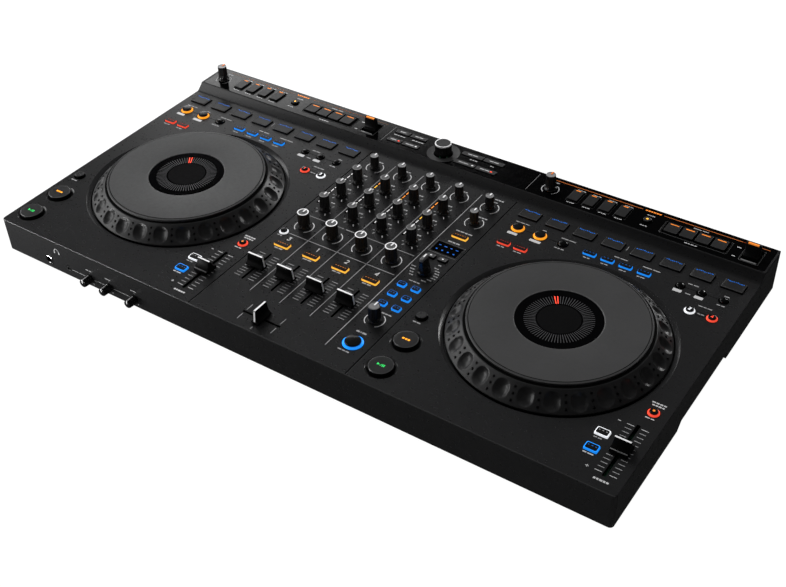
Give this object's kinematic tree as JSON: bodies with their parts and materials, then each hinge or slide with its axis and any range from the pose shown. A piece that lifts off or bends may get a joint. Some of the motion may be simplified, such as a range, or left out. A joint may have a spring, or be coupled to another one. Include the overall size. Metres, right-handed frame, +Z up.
{
  "type": "dj mixer",
  "caption": "Four-channel DJ controller with two jog decks, a centre mixer with faders and rotary knobs, pads, and a raised rear control bar.",
  "frame": {"origin": "middle of the bounding box at the bottom of the rubber feet", "axes": "+X to the player's right along the long side, +Y to the back, +Z up"},
  "size_m": [0.713, 0.377, 0.0705],
  "materials": {
    "deck_plastic": "fine grained satin",
    "gloss_plate": "polished",
    "case_plastic": "grained",
    "feet_rubber": "matte",
    "steel": "plated",
    "board": "solder mask",
    "rim_rubber": "satin",
    "jog_plate": "fine textured paint",
    "knob_plastic": "soft satin",
    "fader_plastic": "satin",
    "button_plastic": "satin, lit skirts"
  },
  "bodies": {
    "case": {"top_cover": "deck_plastic", "rear_control_plate": "gloss_plate", "bottom_case": "case_plastic", "rubber_feet": "feet_rubber", "case_screws": "steel", "circuit_boards": "board", "jog_hubs": "gloss_plate", "indicator_windows": "gloss_plate", "sockets": "steel"},
    "jog_left": {"jog_ring_left": "rim_rubber", "jog_plate_left": "jog_plate"},
    "jog_right": {"jog_ring_right": "rim_rubber", "jog_plate_right": "jog_plate"},
    "channel_fader_1": {"channel_fader_1": "fader_plastic"},
    "channel_fader_2": {"channel_fader_2": "fader_plastic"},
    "channel_fader_3": {"channel_fader_3": "fader_plastic"},
    "channel_fader_4": {"channel_fader_4": "fader_plastic"},
    "crossfader": {"crossfader": "fader_plastic"},
    "tempo_slider_left": {"tempo_slider_left": "fader_plastic"},
    "tempo_slider_right": {"tempo_slider_right": "fader_plastic"},
    "trim_knob_1": {"trim_knob_1": "knob_plastic"},
    "trim_knob_2": {"trim_knob_2": "knob_plastic"},
    "trim_knob_3": {"trim_knob_3": "knob_plastic"},
    "trim_knob_4": {"trim_knob_4": "knob_plastic"},
    "high_knob_1": {"high_knob_1": "knob_plastic"},
    "high_knob_2": {"high_knob_2": "knob_plastic"},
    "high_knob_3": {"high_knob_3": "knob_plastic"},
    "high_knob_4": {"high_knob_4": "knob_plastic"},
    "mid_knob_1": {"mid_knob_1": "knob_plastic"},
    "mid_knob_2": {"mid_knob_2": "knob_plastic"},
    "mid_knob_3": {"mid_knob_3": "knob_plastic"},
    "mid_knob_4": {"mid_knob_4": "knob_plastic"},
    "low_knob_1": {"low_knob_1": "knob_plastic"},
    "low_knob_2": {"low_knob_2": "knob_plastic"},
    "low_knob_3": {"low_knob_3": "knob_plastic"},
    "low_knob_4": {"low_knob_4": "knob_plastic"},
    "colour_knob_1": {"colour_knob_1": "knob_plastic"},
    "colour_knob_2": {"colour_knob_2": "knob_plastic"},
    "colour_knob_3": {"colour_knob_3": "knob_plastic"},
    "colour_knob_4": {"colour_knob_4": "knob_plastic"},
    "master_knob": {"master_knob": "knob_plastic"},
    "booth_knob": {"booth_knob": "knob_plastic"},
    "fx_select_knob": {"fx_select_knob": "knob_plastic"},
    "fx_depth_knob": {"fx_depth_knob": "knob_plastic"},
    "bar_knob_left": {"bar_knob_left": "knob_plastic"},
    "bar_knob_right": {"bar_knob_right": "knob_plastic"},
    "browse_knob": {"browse_knob": "knob_plastic"},
    "front_knob_1": {"front_knob_1": "knob_plastic"},
    "front_knob_2": {"front_knob_2": "knob_plastic"},
    "front_knob_3": {"front_knob_3": "knob_plastic"},
    "bar_lever_left": {"bar_lever_left": "fader_plastic"},
    "bar_lever_right": {"bar_lever_right": "fader_plastic"},
    "pads_left": {"pads_left": "button_plastic"},
    "pads_right": {"pads_right": "button_plastic"},
    "transport_buttons_left": {"transport_buttons_left": "button_plastic"},
    "transport_buttons_right": {"transport_buttons_right": "button_plastic"},
    "deck_buttons_left": {"deck_buttons_left": "button_plastic"},
    "deck_buttons_right": {"deck_buttons_right": "button_plastic"},
    "mixer_buttons": {"mixer_buttons": "button_plastic"},
    "bar_buttons": {"bar_buttons": "button_plastic"}
  },
  "joints": [
    {"name": "jog_left_spin", "type": "hinge", "parent": "case", "child": "jog_left", "pos_m": [-0.2258, -0.0279, 0.044], "axis": [0, 0, 1], "continuous": true},
    {"name": "jog_right_spin", "type": "hinge", "parent": "case", "child": "jog_right", "pos_m": [0.2258, -0.0279, 0.044], "axis": [0, 0, 1], "continuous": true},
    {"name": "channel_fader_1_slide", "type": "slide", "parent": "case", "child": "channel_fader_1", "axis": [0, 1, 0], "range_m": [-0.02, 0.02]},
    {"name": "channel_fader_2_slide", "type": "slide", "parent": "case", "child": "channel_fader_2", "axis": [0, 1, 0], "range_m": [-0.02, 0.02]},
    {"name": "channel_fader_3_slide", "type": "slide", "parent": "case", "child": "channel_fader_3", "axis": [0, 1, 0], "range_m": [-0.02, 0.02]},
    {"name": "channel_fader_4_slide", "type": "slide", "parent": "case", "child": "channel_fader_4", "axis": [0, 1, 0], "range_m": [-0.02, 0.02]},
    {"name": "crossfader_slide", "type": "slide", "parent": "case", "child": "crossfader", "axis": [1, 0, 0], "range_m": [-0.019, 0.019]},
    {"name": "tempo_slider_left_slide", "type": "slide", "parent": "case", "child": "tempo_slider_left", "axis": [0, 1, 0], "range_m": [-0.03, 0.03]},
    {"name": "tempo_slider_right_slide", "type": "slide", "parent": "case", "child": "tempo_slider_right", "axis": [0, 1, 0], "range_m": [-0.03, 0.03]},
    {"name": "trim_knob_1_turn", "type": "hinge", "parent": "case", "child": "trim_knob_1", "pos_m": [-0.0735, 0.1084, 0.044], "axis": [0, 0, 1], "range_deg": [-150, 150]},
    {"name": "trim_knob_2_turn", "type": "hinge", "parent": "case", "child": "trim_knob_2", "pos_m": [-0.03715, 0.1084, 0.044], "axis": [0, 0, 1], "range_deg": [-150, 150]},
    {"name": "trim_knob_3_turn", "type": "hinge", "parent": "case", "child": "trim_knob_3", "pos_m": [-0.0008, 0.1084, 0.044], "axis": [0, 0, 1], "range_deg": [-150, 150]},
    {"name": "trim_knob_4_turn", "type": "hinge", "parent": "case", "child": "trim_knob_4", "pos_m": [0.03555, 0.1084, 0.044], "axis": [0, 0, 1], "range_deg": [-150, 150]},
    {"name": "high_knob_1_turn", "type": "hinge", "parent": "case", "child": "high_knob_1", "pos_m": [-0.0735, 0.076, 0.044], "axis": [0, 0, 1], "range_deg": [-150, 150]},
    {"name": "high_knob_2_turn", "type": "hinge", "parent": "case", "child": "high_knob_2", "pos_m": [-0.03715, 0.076, 0.044], "axis": [0, 0, 1], "range_deg": [-150, 150]},
    {"name": "high_knob_3_turn", "type": "hinge", "parent": "case", "child": "high_knob_3", "pos_m": [-0.0008, 0.076, 0.044], "axis": [0, 0, 1], "range_deg": [-150, 150]},
    {"name": "high_knob_4_turn", "type": "hinge", "parent": "case", "child": "high_knob_4", "pos_m": [0.03555, 0.076, 0.044], "axis": [0, 0, 1], "range_deg": [-150, 150]},
    {"name": "mid_knob_1_turn", "type": "hinge", "parent": "case", "child": "mid_knob_1", "pos_m": [-0.0735, 0.0458, 0.044], "axis": [0, 0, 1], "range_deg": [-150, 150]},
    {"name": "mid_knob_2_turn", "type": "hinge", "parent": "case", "child": "mid_knob_2", "pos_m": [-0.03715, 0.0458, 0.044], "axis": [0, 0, 1], "range_deg": [-150, 150]},
    {"name": "mid_knob_3_turn", "type": "hinge", "parent": "case", "child": "mid_knob_3", "pos_m": [-0.0008, 0.0458, 0.044], "axis": [0, 0, 1], "range_deg": [-150, 150]},
    {"name": "mid_knob_4_turn", "type": "hinge", "parent": "case", "child": "mid_knob_4", "pos_m": [0.03555, 0.0458, 0.044], "axis": [0, 0, 1], "range_deg": [-150, 150]},
    {"name": "low_knob_1_turn", "type": "hinge", "parent": "case", "child": "low_knob_1", "pos_m": [-0.0735, 0.0162, 0.044], "axis": [0, 0, 1], "range_deg": [-150, 150]},
    {"name": "low_knob_2_turn", "type": "hinge", "parent": "case", "child": "low_knob_2", "pos_m": [-0.03715, 0.0162, 0.044], "axis": [0, 0, 1], "range_deg": [-150, 150]},
    {"name": "low_knob_3_turn", "type": "hinge", "parent": "case", "child": "low_knob_3", "pos_m": [-0.0008, 0.0162, 0.044], "axis": [0, 0, 1], "range_deg": [-150, 150]},
    {"name": "low_knob_4_turn", "type": "hinge", "parent": "case", "child": "low_knob_4", "pos_m": [0.03555, 0.0162, 0.044], "axis": [0, 0, 1], "range_deg": [-150, 150]},
    {"name": "colour_knob_1_turn", "type": "hinge", "parent": "case", "child": "colour_knob_1", "pos_m": [-0.0735, -0.0198, 0.044], "axis": [0, 0, 1], "range_deg": [-150, 150]},
    {"name": "colour_knob_2_turn", "type": "hinge", "parent": "case", "child": "colour_knob_2", "pos_m": [-0.03715, -0.0198, 0.044], "axis": [0, 0, 1], "range_deg": [-150, 150]},
    {"name": "colour_knob_3_turn", "type": "hinge", "parent": "case", "child": "colour_knob_3", "pos_m": [-0.0008, -0.0198, 0.044], "axis": [0, 0, 1], "range_deg": [-150, 150]},
    {"name": "colour_knob_4_turn", "type": "hinge", "parent": "case", "child": "colour_knob_4", "pos_m": [0.03555, -0.0198, 0.044], "axis": [0, 0, 1], "range_deg": [-150, 150]},
    {"name": "master_knob_turn", "type": "hinge", "parent": "case", "child": "master_knob", "pos_m": [0.0727, 0.1084, 0.044], "axis": [0, 0, 1], "range_deg": [-150, 150]},
    {"name": "booth_knob_turn", "type": "hinge", "parent": "case", "child": "booth_knob", "pos_m": [0.0727, 0.0772, 0.044], "axis": [0, 0, 1], "range_deg": [-150, 150]},
    {"name": "fx_select_knob_turn", "type": "hinge", "parent": "case", "child": "fx_select_knob", "pos_m": [0.0735, -0.0187, 0.044], "axis": [0, 0, 1], "range_deg": [-150, 150]},
    {"name": "fx_depth_knob_turn", "type": "hinge", "parent": "case", "child": "fx_depth_knob", "pos_m": [0.0728, -0.1025, 0.044], "axis": [0, 0, 1], "range_deg": [-150, 150]},
    {"name": "bar_knob_left_turn", "type": "hinge", "parent": "case", "child": "bar_knob_left", "pos_m": [-0.3364, 0.162, 0.044], "axis": [0, 0, 1], "range_deg": [-150, 150]},
    {"name": "bar_knob_right_turn", "type": "hinge", "parent": "case", "child": "bar_knob_right", "pos_m": [0.1152, 0.162, 0.044], "axis": [0, 0, 1], "range_deg": [-150, 150]},
    {"name": "browse_knob_turn", "type": "hinge", "parent": "case", "child": "browse_knob", "pos_m": [-0.0187, 0.163, 0.052], "axis": [0, 0, 1], "continuous": true},
    {"name": "front_knob_1_turn", "type": "hinge", "parent": "case", "child": "front_knob_1", "pos_m": [-0.2325, -0.1775, 0.0156], "axis": [0, 1, 0], "range_deg": [-150, 150]},
    {"name": "front_knob_2_turn", "type": "hinge", "parent": "case", "child": "front_knob_2", "pos_m": [-0.2055, -0.1775, 0.0156], "axis": [0, 1, 0], "range_deg": [-150, 150]},
    {"name": "front_knob_3_turn", "type": "hinge", "parent": "case", "child": "front_knob_3", "pos_m": [-0.17, -0.1775, 0.0156], "axis": [0, 1, 0], "range_deg": [-150, 150]},
    {"name": "bar_lever_left_tilt", "type": "hinge", "parent": "case", "child": "bar_lever_left", "pos_m": [-0.1158, 0.163, 0.046], "axis": [1, 0, 0], "range_deg": [-14, 14], "stiffness_Nm_per_rad": 0.06},
    {"name": "bar_lever_right_tilt", "type": "hinge", "parent": "case", "child": "bar_lever_right", "pos_m": [0.3358, 0.163, 0.046], "axis": [1, 0, 0], "range_deg": [-14, 14], "stiffness_Nm_per_rad": 0.06},
    {"name": "pads_left_press", "type": "slide", "parent": "case", "child": "pads_left", "axis": [0, 0, 1], "range_m": [-0.0008, 0], "stiffness_N_per_m": 500, "springref_m": 0.001},
    {"name": "pads_right_press", "type": "slide", "parent": "case", "child": "pads_right", "axis": [0, 0, 1], "range_m": [-0.0008, 0], "stiffness_N_per_m": 500, "springref_m": 0.001},
    {"name": "transport_buttons_left_press", "type": "slide", "parent": "case", "child": "transport_buttons_left", "axis": [0, 0, 1], "range_m": [-0.0008, 0], "stiffness_N_per_m": 500, "springref_m": 0.001},
    {"name": "transport_buttons_right_press", "type": "slide", "parent": "case", "child": "transport_buttons_right", "axis": [0, 0, 1], "range_m": [-0.0008, 0], "stiffness_N_per_m": 500, "springref_m": 0.001},
    {"name": "deck_buttons_left_press", "type": "slide", "parent": "case", "child": "deck_buttons_left", "axis": [0, 0, 1], "range_m": [-0.0008, 0], "stiffness_N_per_m": 500, "springref_m": 0.001},
    {"name": "deck_buttons_right_press", "type": "slide", "parent": "case", "child": "deck_buttons_right", "axis": [0, 0, 1], "range_m": [-0.0008, 0], "stiffness_N_per_m": 500, "springref_m": 0.001},
    {"name": "mixer_buttons_press", "type": "slide", "parent": "case", "child": "mixer_buttons", "axis": [0, 0, 1], "range_m": [-0.0008, 0], "stiffness_N_per_m": 500, "springref_m": 0.001},
    {"name": "bar_buttons_press", "type": "slide", "parent": "case", "child": "bar_buttons", "axis": [0, 0, 1], "range_m": [-0.0008, 0], "stiffness_N_per_m": 500, "springref_m": 0.001}
  ]
}
